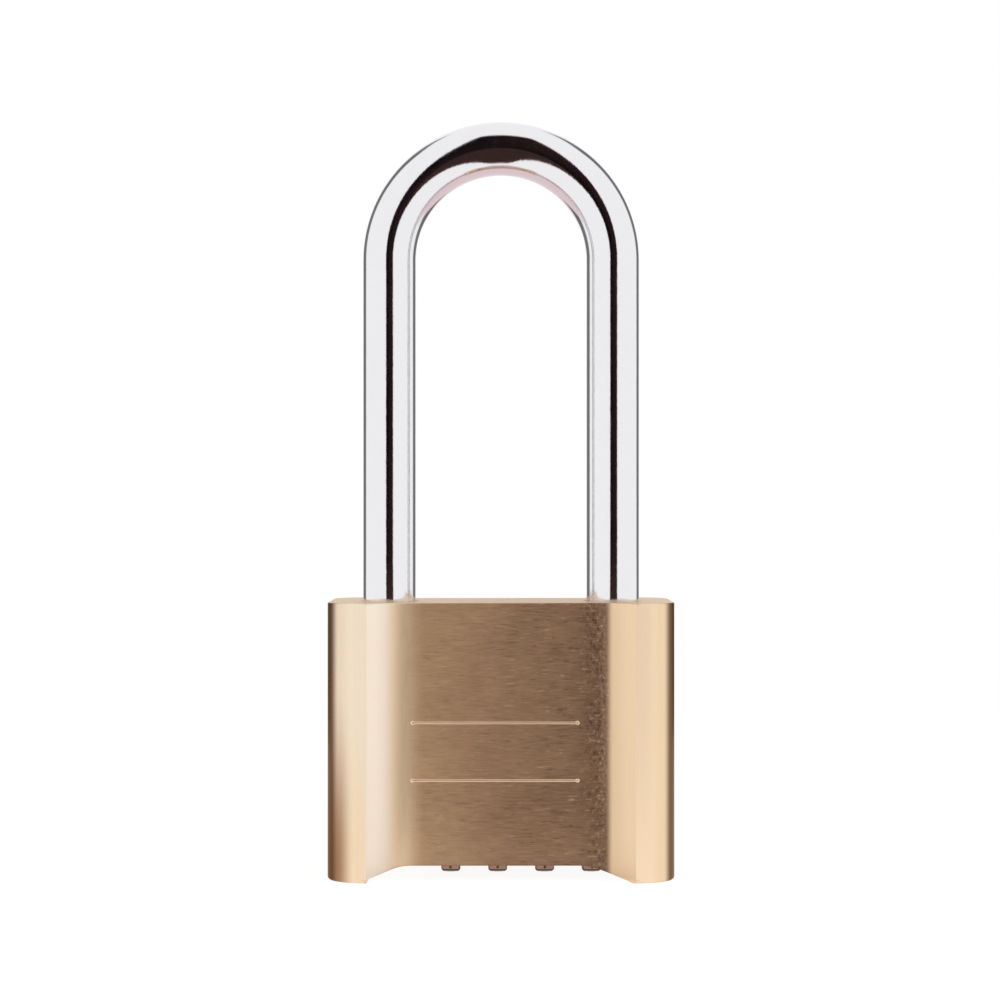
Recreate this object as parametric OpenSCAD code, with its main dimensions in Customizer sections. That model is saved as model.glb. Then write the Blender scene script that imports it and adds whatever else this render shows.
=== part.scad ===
// Four-dial resettable padlock with a long shackle.
// Millimetres. Origin: bottom centre of the case, on the plane of its two feet.
// +X is the toe side, -Y the front, +Z up towards the shackle.

/* [Case] */
// Width across the two lobes
case_w = 50.8; // [49:0.1:56]
// Height of the case
case_h = 40.5; // [40:0.1:50]
// Thickness of the lobes, front to back
lobe_d = 25.4; // [24:0.1:30]
// Thickness of the waist between the lobes
waist_d = 19.5; // [18.6:0.1:21]
// Radius of the lobes' outer corners
lobe_corner_r = 4.9; // [3:0.1:6]
// Flat land on the crest of each lobe
lobe_land = 1; // [0.4:0.1:2]
// Width of the slope from a lobe's crest down to the waist
slope_run = 4.3; // [3:0.1:5]
// Radius where the slope runs into the waist
waist_fillet_r = 5; // [2:0.1:6]
// Height of the two feet below the dial recess
foot_h = 2.2; // [1.5:0.1:2.3]
// Rise of the slopes from the feet up to the dial recess, for each mm of width
foot_slope = 0.34; // [0.3:0.01:0.4]
// Height at which the heel foot's slope starts
heel_foot_step = 0.6; // [0.2:0.1:0.8]
// How far the feet reach in past the lobes' crests
foot_in = 0.25; // [0.1:0.05:0.4]
// Radius where the slopes run into the dial recess
foot_fillet_r = 8; // [5:0.5:10]
// Chamfer at the mouths of the two leg bores
mouth_chamfer = 0.35; // [0.2:0.05:0.5]

/* [Shackle] */
// Diameter of the shackle's rod
wire_d = 7.94; // [7:0.01:8.4]
// Clear gap between the legs
leg_gap = 25.4; // [25:0.1:26.5]
// Clear height above the case, shackle closed
shackle_clear = 63.5; // [20:0.5:90]
// Travel of the shackle from closed to open
lift = 14; // [13.2:0.1:14.5]
// How far the toe leg reaches into the case
toe_in = 12.8; // [10:0.1:13]
// Chamfer on the ends of both legs
leg_chamfer = 0.8; // [0.3:0.1:1.5]
// Play between a leg and its bore, on the radius
leg_play = 0.1; // [0.05:0.01:0.2]

/* [Dials] */
// Diameter of a dial
dial_d = 15.4; // [15:0.1:15.6]
// Width of a dial
dial_w = 2.8; // [2.4:0.1:3.2]
// Distance from one dial to the next
dial_pitch = 6.98; // [6.9:0.01:7.05]
// Sideways place of the middle of the row, clear of the heel leg
dial_offset = 3; // [2.8:0.1:3.2]
// Height of the dials' axis
axle_z = 7.8; // [7.8:0.1:8.2]
// Depth of the finger grooves in a dial's rim
grip_depth = 0.45; // [0.3:0.05:0.6]
// Radius of the finger grooves
grip_r = 1; // [0.8:0.1:1.4]
// Chamfer on the rim of a dial
dial_chamfer = 0.3; // [0.1:0.05:0.5]
// Gap between a dial's rim and its slot
dial_rim_gap = 0.3; // [0.2:0.05:0.4]
// Gap between a dial's side and its slot
dial_side_gap = 0.1; // [0.05:0.01:0.2]

/* [Code sleeves] */
// Outer diameter of a code sleeve
sleeve_d = 8.2; // [7.8:0.1:8.4]
// Wall of a code sleeve
sleeve_wall = 0.9; // [0.7:0.1:1]
// Height of the key that locks a sleeve to its dial
key_h = 0.65; // [0.5:0.05:0.75]
// Width of that key
key_w = 1.4; // [1:0.1:1.6]
// Thickness of the gate ring in a sleeve
gate_t = 0.7; // [0.5:0.05:0.8]
// Sideways shift of the sleeves when the code is changed
change_shift = 1; // [0.9:0.05:1.1]

/* [Locking train] */
// Diameter of the locking spindle
spindle_d = 3.2; // [2.8:0.1:3.4]
// Radius reached by the spindle's fins
fin_r = 2.9; // [2.5:0.1:2.95]
// Thickness of a fin
fin_t = 0.7; // [0.5:0.05:0.8]
// Width of a fin
fin_w = 1; // [0.8:0.1:1.2]
// Gap between a fin and its gate ring at each end of the travel
pass_gap = 0.3; // [0.2:0.05:0.4]
// Thickness of the spindle's collar
collar_t = 1; // [0.8:0.1:1.2]
// Diameter of the spindle's collar
collar_d = 6; // [5.6:0.1:6.4]
// Length of the spindle spring as fitted
spring_len = 5; // [4.6:0.1:5.2]
// Wire of the spindle spring
spring_wire = 0.38; // [0.3:0.01:0.4]
// Coils of the spindle spring
spring_coils = 4.5; // [3.5:0.5:5]
// Thickness of the locking lever
lever_t = 3; // [2.6:0.1:3.2]
// Width of the lever's arms
lever_w = 1.7; // [1.4:0.1:1.9]
// Height of the lever's pivot above the dials' axis
foot_arm = 15; // [14.5:0.1:15.5]
// Height of the lever's nose above its pivot
nose_arm = 8; // [7.8:0.1:8.5]
// How deep the nose stands in the heel leg
nose_depth = 1.4; // [1:0.05:1.5]
// Diameter of the pivot pin
pivot_d = 2; // [1.6:0.1:2.2]
// Diameter of the heel stop pin
stop_pin_d = 2.4; // [2:0.1:2.6]
// Depth of the stop groove in the heel leg
stop_depth = 1.5; // [1.2:0.1:1.8]

/* [Code change] */
// Diameter of the change cam's head
cam_head_d = 4.8; // [4.4:0.1:4.9]
// Diameter of the change cam's shaft
cam_shaft_d = 3.2; // [3.1:0.1:3.4]
// Diameter of the cam's eccentric pin
cam_pin_d = 1.6; // [1.3:0.1:1.65]
// Thickness of the cam's retaining ring
ring_t = 0.45; // [0.35:0.05:0.5]

/* [Fits] */
// Radial clearance of turning and sliding fits
run_fit = 0.06; // [0.03:0.01:0.09]
// Radial clearance of pins and plugs that stay put
still_fit = 0.01; // [0.005:0.005:0.02]
// Clearance between pieces that pass each other
pass_fit = 0.3; // [0.2:0.05:0.35]

/* [Hidden] */
$fn = 96;

dial_n = 4;
digit_n = 10;
step = 360 / digit_n;
eps = 0.01;
far = 200;

// Case
half_w = case_w / 2;
half_lobe = lobe_d / 2;
half_waist = waist_d / 2;
crest_x = half_w - lobe_corner_r - lobe_land;
recess_x = crest_x - slope_run;

// Shackle
wire_r = wire_d / 2;
leg_x = (leg_gap + wire_d) / 2;
leg_bore_r = wire_r + leg_play;
bow_z = case_h + shackle_clear - leg_gap / 2;
toe_z = case_h - toe_in;
toe_floor_z = toe_z - 0.5;

// Dials
dial_r = dial_d / 2;
slot_r = dial_r + dial_rim_gap;
slot_w = dial_w + 2 * dial_side_gap;
function dial_x(i) = dial_offset + (i - (dial_n - 1) / 2) * dial_pitch;

// Code sleeves, measured from the middle of their dial
sleeve_r = sleeve_d / 2;
chamber_r = sleeve_r - sleeve_wall;
sleeve_half = dial_pitch / 2 - 0.09;
key_r = sleeve_r + key_h;
key_t = 0.75;
key_x = -dial_w / 2 + 0.15;
gate_x = 0.6;
gate_slot_w = fin_w + 0.5;
dial_bore_r = sleeve_r + run_fit;
notch_r = key_r + 0.15;
notch_w = key_w + 0.3;
notch_t = key_t + 0.3;
stack_r = notch_r;
stack_left = dial_x(0) - sleeve_half;
stack_right = dial_x(dial_n - 1) + sleeve_half;

// Locking spindle: the fins pass right through the gate rings
spindle_r = spindle_d / 2;
spindle_bore_r = spindle_r + run_fit;
spindle_travel = gate_t + fin_t + change_shift + 2 * pass_gap;
fin_x = gate_x + gate_t + pass_gap;

// Left end of the row, from the sleeves outwards
washer_t = 0.2;
washer_h = change_shift + washer_t;
bush_t = 0.8;
bush_x = stack_left - washer_h - 0.03 - bush_t;
pad_r = 0.75;
pad_x = bush_x - pass_fit - pad_r;
collar_x = pad_x - pad_r - 0.2 - collar_t;
plug_in_x = collar_x - spring_len;
spindle_lead = 0.4;
spring_r = spindle_r + 0.15 + spring_wire;

// Right end of the row
pusher_x = stack_right + 0.1;
pusher_t = 4.1;
stack_end_x = pusher_x + pusher_t + 0.1;
spindle_end_x = stack_end_x + 1.6;

// Locking lever, drawn in the XZ plane
heel_edge_x = -leg_x + wire_r;
boss_r = 1.5;
pivot_x = heel_edge_x + 0.4 + boss_r;
pivot_z = axle_z + foot_arm;
nose_r = 1;
nose_x = heel_edge_x - nose_depth + nose_r;
nose_z = pivot_z + nose_arm;
arm_left_x = heel_edge_x + 0.4;
fork_gap = spindle_d + 0.3;
fork_w = 5.6;
fork_top_z = axle_z + spindle_r + pass_fit;
fork_bridge = 1.6;
pocket_back = 3;
flat_run_out = 4;
knee_z = axle_z + stack_r + 0.2;
knee_t = 1.2;
heel_z = knee_z + knee_t + 0.2;

// Angle of the lever at full lift, from the foot's path
foot_reach = norm([pad_x - pivot_x, foot_arm]);
foot_lean = atan((pivot_x - pad_x) / foot_arm);
lever_turn = asin((pivot_x - pad_x + spindle_travel) / foot_reach) - foot_lean;
nose_reach = norm([nose_x - pivot_x, nose_arm]);
nose_lean = atan((pivot_x - nose_x) / nose_arm) - lever_turn;
nose_end_x = pivot_x - nose_reach * sin(nose_lean);
nose_end_z = pivot_z + nose_reach * cos(nose_lean) - lift;

// Stop pin and its groove in the heel leg
stop_below = 3.8;
stop_z = heel_z + lift + stop_pin_d / 2 + stop_below;
groove_w = stop_pin_d + 2 * pass_fit;
groove_x = -leg_x - wire_r + stop_depth;
swivel_r = wire_r - stop_depth + 0.2;

// Code change cam under the toe leg
pin_throw = change_shift / sqrt(2);
cam_head_r = cam_head_d / 2;
cam_shaft_r = cam_shaft_d / 2;
cam_pin_r = cam_pin_d / 2;
cam_x = leg_x + leg_bore_r - cam_head_r - 0.14;
cam_room = 3.4;
cam_seat_z = toe_floor_z - cam_room;
cam_head_t = 2.2;
cam_low_z = axle_z + stack_r + 0.2;
cam_pin_reach = 2.3;
cam_pin_z = axle_z + stack_r - cam_pin_reach;
cam_slot_w = 0.9;
ring_r = cam_head_r + 0.4;
ring_bore_r = 1.7;
ring_z = cam_seat_z + cam_head_t + 0.1;
ring_gap = 0.05;

// Click spring beside the top of the dials
click_a = step / 2;
click_top = dial_r + 1.7;
click_t = 0.3;
click_w = 2.4;
click_tip_w = 1;
click_tip = dial_r - grip_depth + 0.2;
click_margin = 0.5;

// Helpers
// Round bar along X on the dials' axis
module bar_x(x0, x1, r) {
    translate([x0, 0, axle_z])
        rotate([0, 90, 0])
            cylinder(h = x1 - x0, r = r);
}

// Turns what is drawn on +Z by an angle about the dials' axis
module about_axle(angle) {
    translate([0, 0, axle_z])
        rotate([angle, 0, 0])
            children();
}

// Block on the dials' axis, standing from the axis out to a radius
module spoke(x0, t, w, r) {
    translate([x0, -w / 2, 0])
        cube([t, w, r]);
}

// Outline drawn as [x, z] and given a thickness about y = 0
module plate_xz(t) {
    translate([0, t / 2, 0])
        rotate([90, 0, 0])
            linear_extrude(height = t)
                children();
}

// Rod with a chamfer at its lower end
module leg(z0, z1) {
    translate([0, 0, z0])
        cylinder(h = leg_chamfer, r1 = wire_r - leg_chamfer, r2 = wire_r);
    translate([0, 0, z0 + leg_chamfer])
        cylinder(h = z1 - z0 - leg_chamfer, r = wire_r);
}

// Circle that rounds the inner corner of a recess: half its corner angle,
// and the centre's distances from the corner
slope_a = atan2(half_lobe - half_waist, slope_run);
function corner_back(r, a) = r * tan(a / 2);

// One waist recess, seen from above, in front of the case
module waist_recess() {
    back = corner_back(waist_fillet_r, slope_a);
    flat_x = recess_x - back;
    rise_x = recess_x + back * cos(slope_a);
    rise_y = half_waist + back * sin(slope_a);
    over = 6;
    top_x = crest_x + over / tan(slope_a);
    polygon([
        [-top_x, half_lobe + over], [-rise_x, rise_y],
        [-flat_x, half_waist], [flat_x, half_waist],
        [rise_x, rise_y], [top_x, half_lobe + over]
    ]);
    for (side = [-1, 1])
        translate([side * flat_x, half_waist + waist_fillet_r])
            circle(r = waist_fillet_r);
}

// Case seen from above: two rounded lobes joined by a waist
module case_plan() {
    core_w = case_w - 2 * lobe_corner_r;
    core_d = lobe_d - 2 * lobe_corner_r;
    difference() {
        union() {
            square([case_w, core_d], center = true);
            square([core_w, lobe_d], center = true);
            for (sx = [-1, 1], sy = [-1, 1])
                translate([sx * core_w / 2, sy * core_d / 2])
                    circle(r = lobe_corner_r);
        }
        waist_recess();
        mirror([0, 1])
            waist_recess();
    }
}

// Recess under the dials, seen from the front
module dial_recess() {
    a = atan(foot_slope);
    back = corner_back(foot_fillet_r, a);
    edge_x = crest_x - foot_in;
    heel_x = -edge_x + (foot_h - heel_foot_step) / foot_slope;
    toe_x = edge_x - foot_h / foot_slope;
    drop = 2;
    rise_z = foot_h - back * sin(a);
    polygon([
        [-edge_x, -drop], [-edge_x, heel_foot_step],
        [heel_x - back * cos(a), rise_z], [heel_x + back, foot_h],
        [toe_x - back, foot_h], [toe_x + back * cos(a), rise_z],
        [edge_x, 0], [edge_x, -drop]
    ]);
    for (flat_x = [heel_x + back, toe_x - back])
        translate([flat_x, foot_h - foot_fillet_r])
            circle(r = foot_fillet_r);
}

// Room for the lever: it swings with its nose to the right, its foot to the left
module lever_pocket() {
    left_x = pivot_x - pocket_back;
    low_x = arm_left_x + lever_w + pass_fit;
    boss_x = pivot_x + boss_r + pass_fit;
    swing_x = arm_left_x + lever_w + (nose_arm + nose_r) * sin(lever_turn) + pass_fit;
    top_z = nose_z + nose_r + 0.7;
    polygon([
        [left_x, knee_z - 0.7], [low_x, knee_z - 0.7], [low_x, pivot_z - boss_r - 0.7],
        [boss_x, pivot_z - boss_r], [boss_x, pivot_z + boss_r],
        [swing_x, nose_z], [swing_x, top_z], [left_x, top_z]
    ]);
}

module case() {
    color("darkgoldenrod")
    difference() {
        intersection() {
            linear_extrude(height = case_h)
                case_plan();
            plate_xz(lobe_d + 2)
                difference() {
                    translate([-half_w, 0])
                        square([case_w, case_h]);
                    dial_recess();
                }
        }
        // Bores of the shackle's legs
        translate([-leg_x, 0, axle_z])
            cylinder(h = case_h, r = leg_bore_r);
        translate([leg_x, 0, toe_floor_z])
            cylinder(h = case_h, r = leg_bore_r);
        for (side = [-1, 1])
            translate([side * leg_x, 0, case_h - mouth_chamfer])
                cylinder(h = mouth_chamfer + eps, r1 = leg_bore_r, r2 = leg_bore_r + mouth_chamfer + eps);
        // Bore of the sleeves, entered from the heel side, and the spindle's blind end
        bar_x(-half_w - 1, stack_end_x, stack_r);
        bar_x(stack_end_x - eps, spindle_end_x + 0.4, spindle_bore_r);
        // Dial slots, open at the bottom
        for (i = [0 : dial_n - 1])
            bar_x(dial_x(i) - slot_w / 2, dial_x(i) + slot_w / 2, slot_r);
        // Channel of the click spring
        about_axle(click_a)
            translate([dial_x(0) - dial_w / 2 - click_margin - 0.1, -click_w / 2 - 0.2, 0])
                cube([
                    dial_x(dial_n - 1) - dial_x(0) + dial_w + 2 * click_margin + 0.2,
                    click_w + 0.4, click_top + still_fit
                ]);
        // Lever pocket and the hole of its pin, drilled from the back
        plate_xz(lever_t + pass_fit)
            lever_pocket();
        translate([pivot_x, -half_waist / 2, pivot_z])
            rotate([-90, 0, 0])
                cylinder(h = case_h, r = pivot_d / 2 + still_fit);
        // Hole of the stop pin
        translate([-half_w - 1, 0, stop_z])
            rotate([0, 90, 0])
                cylinder(h = half_w + 1 - leg_x, r = stop_pin_d / 2 + still_fit);
        // Seat of the change cam below the toe leg
        translate([cam_x, 0, axle_z + stack_r - 1])
            cylinder(h = case_h, r = cam_shaft_r + run_fit);
        translate([cam_x, 0, cam_seat_z])
            cylinder(h = toe_floor_z - cam_seat_z + eps, r = cam_head_r + run_fit);
        translate([cam_x, 0, ring_z - ring_gap])
            cylinder(h = ring_t + 2 * ring_gap, r = ring_r + still_fit);
    }
}

// Flat milled along the heel leg: the lever's nose runs down it as the shackle rises
module nose_ramp() {
    run_x = nose_end_x - nose_x;
    run_z = nose_end_z - nose_z;
    run = norm([run_x, run_z]);
    off = nose_r + 0.25;
    start_x = nose_x + off * run_z / run;
    start_z = nose_z - off * run_x / run;
    top_z = nose_z + nose_r + pass_fit;
    slope = run_x / run_z;
    low_z = nose_end_z - flat_run_out;
    polygon([
        [start_x + slope * (top_z - start_z), top_z],
        [start_x + slope * (low_z - start_z), low_z],
        [heel_edge_x + 2, low_z], [heel_edge_x + 2, top_z]
    ]);
}

module shackle() {
    color("gainsboro")
    difference() {
        union() {
            translate([-leg_x, 0, 0])
                leg(heel_z, bow_z);
            translate([leg_x, 0, 0])
                leg(toe_z, bow_z);
            translate([0, 0, bow_z])
                rotate([90, 0, 0])
                    rotate_extrude(angle = 180)
                        translate([leg_x, 0])
                            circle(r = wire_r);
        }
        plate_xz(wire_d + 2)
            nose_ramp();
        // Stop groove, and the ring at its lower end that lets the shackle swing round
        translate([groove_x - wire_d, -groove_w / 2, stop_z - lift - groove_w / 2])
            cube([wire_d, groove_w, lift + groove_w]);
        translate([-leg_x, 0, stop_z - lift - groove_w / 2])
            difference() {
                cylinder(h = groove_w, r = wire_r + 1);
                translate([0, 0, -1])
                    cylinder(h = groove_w + 2, r = swivel_r);
            }
    }
}

// One numbered dial: ten finger grooves outside, ten key notches inside
module dial_wheel(i) {
    color("goldenrod")
    translate([dial_x(i), 0, 0])
        difference() {
            translate([-dial_w / 2, 0, axle_z])
                rotate([0, 90, 0])
                    rotate_extrude()
                        polygon([
                            [dial_bore_r, 0], [dial_r - dial_chamfer, 0],
                            [dial_r, dial_chamfer], [dial_r, dial_w - dial_chamfer],
                            [dial_r - dial_chamfer, dial_w], [dial_bore_r, dial_w]
                        ]);
            for (k = [0 : digit_n - 1]) {
                about_axle(k * step)
                    spoke(-dial_w / 2 - 1, notch_t + 1 + 0.15, notch_w, notch_r);
                about_axle(k * step + step / 2)
                    translate([-dial_w, 0, dial_r - grip_depth + grip_r])
                        rotate([0, 90, 0])
                            cylinder(h = 2 * dial_w, r = grip_r);
            }
        }
}

// Sleeve inside a dial: a key outside, a gate ring inside
module code_sleeve(i) {
    color("silver")
    translate([dial_x(i), 0, 0]) {
        difference() {
            bar_x(-sleeve_half, sleeve_half, sleeve_r);
            bar_x(-sleeve_half - 1, gate_x, chamber_r);
            bar_x(gate_x + gate_t, sleeve_half + 1, chamber_r);
            bar_x(-sleeve_half, sleeve_half, spindle_bore_r);
            about_axle(0)
                spoke(gate_x - 1, gate_t + 2, gate_slot_w, chamber_r - 0.1);
        }
        difference() {
            about_axle(0)
                spoke(key_x, key_t, key_w, key_r);
            bar_x(-sleeve_half, sleeve_half, sleeve_r - sleeve_wall / 2);
        }
    }
}

module locking_spindle() {
    color("lightsteelblue") {
        bar_x(plug_in_x - spindle_lead, spindle_end_x, spindle_r);
        bar_x(collar_x, collar_x + collar_t, collar_d / 2);
        for (i = [0 : dial_n - 1])
            about_axle(0)
                spoke(dial_x(i) + fin_x, fin_t, fin_w, fin_r);
    }
}

// Compression spring as a round wire swept along a helix
module spindle_spring() {
    turns_n = spring_coils * 16;
    sides = 8;
    x0 = plug_in_x + spring_wire / 2;
    rise = (collar_x - spring_wire / 2 - x0) / turns_n;
    points = [
        for (k = [0 : turns_n], s = [0 : sides - 1])
            let (
                a = k * 360 / 16,
                b = s * 360 / sides,
                r = spring_r + spring_wire / 2 * cos(b)
            )
            [x0 + k * rise + spring_wire / 2 * sin(b), r * cos(a), axle_z + r * sin(a)]
    ];
    quads = [
        for (k = [0 : turns_n - 1], s = [0 : sides - 1])
            let (t = (s + 1) % sides)
            [k * sides + s, k * sides + t, (k + 1) * sides + t, (k + 1) * sides + s]
    ];
    first = [for (s = [sides - 1 : -1 : 0]) s];
    last = [for (s = [0 : sides - 1]) turns_n * sides + s];
    color("dimgray")
        polyhedron(points = points, faces = concat(quads, [first, last]), convexity = 8);
}

// First-order lever: nose in the heel leg, forked foot behind the spindle's collar
module locking_lever() {
    arm_right_x = arm_left_x + lever_w;
    foot_x = pad_x - pad_r;
    color("slategray")
    difference() {
        union() {
            plate_xz(lever_t) {
                translate([nose_x, nose_z])
                    circle(r = nose_r);
                translate([nose_x, nose_z - nose_r])
                    square([arm_right_x - nose_x, 2 * nose_r]);
                translate([arm_left_x, knee_z])
                    square([lever_w, nose_z - knee_z]);
                translate([pivot_x, pivot_z])
                    circle(r = boss_r);
                translate([foot_x, knee_z])
                    square([arm_right_x - foot_x, knee_t]);
                translate([foot_x, fork_top_z])
                    square([2 * pad_r, knee_z + knee_t - fork_top_z]);
            }
            plate_xz(fork_w) {
                translate([foot_x, axle_z])
                    square([2 * pad_r, fork_top_z + fork_bridge - axle_z]);
                translate([pad_x, axle_z])
                    circle(r = pad_r);
            }
        }
        translate([foot_x - 1, -fork_gap / 2, axle_z - 2])
            cube([2 * pad_r + 2, fork_gap, fork_top_z - axle_z + 2]);
        translate([pivot_x, -lever_t, pivot_z])
            rotate([-90, 0, 0])
                cylinder(h = 2 * lever_t, r = pivot_d / 2 + run_fit);
    }
}

module lever_pivot_pin() {
    color("gray")
    translate([pivot_x, -half_waist / 2 + 0.05, pivot_z])
        rotate([-90, 0, 0])
            cylinder(h = half_waist * 1.5 - 0.05, r = pivot_d / 2);
}

module heel_stop_pin() {
    color("gray")
    translate([-half_w, 0, stop_z])
        rotate([0, 90, 0])
            cylinder(h = half_w + groove_x - pass_fit, r = stop_pin_d / 2);
}

// Plug that closes the sleeve bore and guides the spindle's heel end
module end_plug() {
    blind_x = plug_in_x - spindle_lead - spindle_travel - pass_fit;
    color("darkgoldenrod")
    difference() {
        bar_x(-half_w, plug_in_x, stack_r - still_fit);
        bar_x(blind_x, plug_in_x + 1, spindle_bore_r);
    }
}

// Bush that carries the spindle beside the lever and seats the wave washer
module stack_bush() {
    color("peru")
    difference() {
        bar_x(bush_x, bush_x + bush_t, stack_r - still_fit);
        bar_x(bush_x - 1, bush_x + bush_t + 1, spindle_bore_r);
    }
}

// Wave washer that pushes the sleeves back to the toe side
module wave_washer() {
    outer_r = sleeve_r - 0.1;
    inner_r = spindle_r + 0.5;
    arch_r = (pow(outer_r, 2) + pow(washer_h - washer_t, 2)) / (2 * (washer_h - washer_t));
    x0 = bush_x + bush_t + 0.01;
    color("dimgray")
    intersection() {
        difference() {
            bar_x(x0, x0 + washer_h, outer_r);
            bar_x(x0 - 1, x0 + washer_h + 1, inner_r);
        }
        translate([x0 + arch_r, 0, 0])
            difference() {
                translate([0, 0, axle_z - sleeve_r])
                    cylinder(h = sleeve_d, r = arch_r);
                translate([0, 0, axle_z - sleeve_r - 1])
                    cylinder(h = sleeve_d + 2, r = arch_r - washer_t);
            }
    }
}

// Leaf spring with one finger for each dial, seated in a finger groove
module click_spring() {
    x0 = dial_x(0) - dial_w / 2 - click_margin;
    x1 = dial_x(dial_n - 1) + dial_w / 2 + click_margin;
    tip = dial_w * 0.3;
    root = dial_w * 0.62;
    color("dimgray")
    about_axle(click_a) {
        difference() {
            plate_xz(click_w)
                polygon([
                    [x0, click_top - click_t], [x1, click_top - click_t],
                    [x1, click_top], [x0, click_top]
                ]);
            for (i = [0 : dial_n - 1])
                translate([dial_x(i) - root + click_t, -click_w, click_top - 1])
                    cube([2 * (root - click_t), 2 * click_w, 2]);
        }
        plate_xz(click_tip_w)
            for (i = [0 : dial_n - 1])
                translate([dial_x(i), 0])
                    polygon([
                        [-root, click_top - click_t], [-tip, click_tip],
                        [tip, click_tip], [root, click_top - click_t],
                        [root, click_top], [root - click_t, click_top],
                        [tip - click_t / 2, click_tip + click_t],
                        [-tip + click_t / 2, click_tip + click_t],
                        [-root + click_t, click_top], [-root, click_top]
                    ]);
    }
}

// Quarter-turn cam at the bottom of the toe bore, worked with the shackle open
module change_cam() {
    color("lightgray")
    difference() {
        translate([cam_x, 0, 0]) {
            translate([0, 0, cam_seat_z])
                cylinder(h = cam_head_t, r = cam_head_r);
            translate([0, 0, cam_low_z])
                cylinder(h = cam_seat_z + eps - cam_low_z, r = cam_shaft_r);
            rotate([0, 0, 45])
                translate([pin_throw, 0, cam_pin_z])
                    cylinder(h = cam_low_z + eps - cam_pin_z, r = cam_pin_r);
        }
        translate([cam_x - cam_head_r - 1, -cam_slot_w / 2, cam_seat_z + cam_head_t - 1])
            cube([cam_head_d + 2, cam_slot_w, 2]);
    }
}

// Split ring that keeps the cam down
module cam_retaining_ring() {
    color("dimgray")
    translate([cam_x, 0, ring_z])
        difference() {
            cylinder(h = ring_t, r = ring_r);
            translate([0, 0, -1])
                cylinder(h = ring_t + 2, r = ring_bore_r);
            translate([0, -0.5, -1])
                cube([far, 1, ring_t + 2]);
        }
}

// Slide that the cam's pin moves towards the heel, pushing all the sleeves
module change_pusher() {
    groove = cam_pin_d + 0.3;
    color("silver")
    difference() {
        bar_x(pusher_x, pusher_x + pusher_t, stack_r - run_fit);
        bar_x(pusher_x - 1, pusher_x + pusher_t + 1, spindle_bore_r);
        translate([cam_x + pin_throw * cos(45) - groove / 2, -stack_r, cam_pin_z - 0.25])
            cube([groove, 2 * stack_r, stack_r]);
    }
}

case();
shackle();
dial_wheel(0);  // dial_wheel_1
dial_wheel(1);  // dial_wheel_2
dial_wheel(2);  // dial_wheel_3
dial_wheel(3);  // dial_wheel_4
code_sleeve(0);  // code_sleeve_1
code_sleeve(1);  // code_sleeve_2
code_sleeve(2);  // code_sleeve_3
code_sleeve(3);  // code_sleeve_4
locking_spindle();
spindle_spring();
locking_lever();
lever_pivot_pin();
heel_stop_pin();
end_plug();
stack_bush();
wave_washer();
click_spring();
change_cam();
cam_retaining_ring();
change_pusher();
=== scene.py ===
import math

import bmesh
import bpy
import numpy as np
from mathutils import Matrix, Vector


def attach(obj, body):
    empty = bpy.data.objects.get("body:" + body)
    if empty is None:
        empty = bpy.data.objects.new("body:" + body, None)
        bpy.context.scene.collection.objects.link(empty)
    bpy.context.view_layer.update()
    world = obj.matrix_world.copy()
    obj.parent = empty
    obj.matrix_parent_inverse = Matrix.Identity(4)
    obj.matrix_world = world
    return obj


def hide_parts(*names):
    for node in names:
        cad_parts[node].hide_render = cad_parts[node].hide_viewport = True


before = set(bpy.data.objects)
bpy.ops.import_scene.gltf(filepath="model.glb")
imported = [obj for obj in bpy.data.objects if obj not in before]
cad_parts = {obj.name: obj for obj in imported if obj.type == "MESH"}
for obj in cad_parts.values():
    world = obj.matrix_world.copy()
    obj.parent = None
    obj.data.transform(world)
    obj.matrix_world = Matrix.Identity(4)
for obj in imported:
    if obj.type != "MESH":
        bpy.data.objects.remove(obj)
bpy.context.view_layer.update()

# --- Case ---------------------------------------------------------------------------------
# The body is one block of drawn brass bar, milled to a waist between two round lobes, then
# drilled and slotted. The waist is brushed from side to side, the lobes up and down, the ends
# are milled flat, and a thin clear lacquer lies over all of it. Its rims are broken by hand.
# Part of its colour is painted light: a painted highlight on the ridge of each crest and on the
# heel, and painted shade on the waist, beside the toe's step, on the heel's outer side and
# along the outer edges.
MM = 0.001
CASE_W, CASE_H = 50.8, 40.5
WAIST_HALF_DEPTH = 9.75
SLOPE_X, CREST_X, CREST_LAND = 15.2, 19.5, 1.0
ARCH_Z, SLOTS_Y = 2.2, 9.5
PIVOT_X, PIVOT_Z, PIVOT_HOLE = -10.8, 22.8, 1.3
RIM_BREAK = 0.5
LOBE_BRASS = (0.905, 0.68, 0.445, 1.0)
LOBE_LINES = (0.88, 0.67, 0.45, 1.0)
# The crest colour is a painted highlight on the ridge of each crest.
CREST_PAINTED_HIGHLIGHT = (0.97, 0.75, 0.515, 1.0)
# The pale colour is a painted highlight on the heel's inner slope and high on its outer side.
PALE_PAINTED_HIGHLIGHT = (1.0, 0.885, 0.745, 1.0)
# The heel's brown is painted shade on its outer side, towards its corner and its foot.
HEEL_PAINTED_SHADE = (0.27, 0.11, 0.045, 1.0)
# The edge colour is dark painted shade along the outer edges.
EDGE_PAINTED_SHADE = (0.085, 0.03, 0.012, 1.0)
MILLED_BRASS = (1.0, 0.83, 0.665, 1.0)
# The waist's brass is darker than the lobes' partly as painted shade; the waist and step shades
# are painted shade.
WAIST_BRASS = (0.625, 0.395, 0.225, 1.0)
WAIST_SHADE = (0.35, 0.205, 0.13, 1.0)
STEP_SHADE = (0.22, 0.13, 0.075, 1.0)
SCRATCH, SCUFF = (0.17, 0.095, 0.065, 1.0), (0.86, 0.60, 0.38, 1.0)
PIT, FLECK = (0.14, 0.07, 0.05, 1.0), (0.80, 0.55, 0.36, 1.0)


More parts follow.
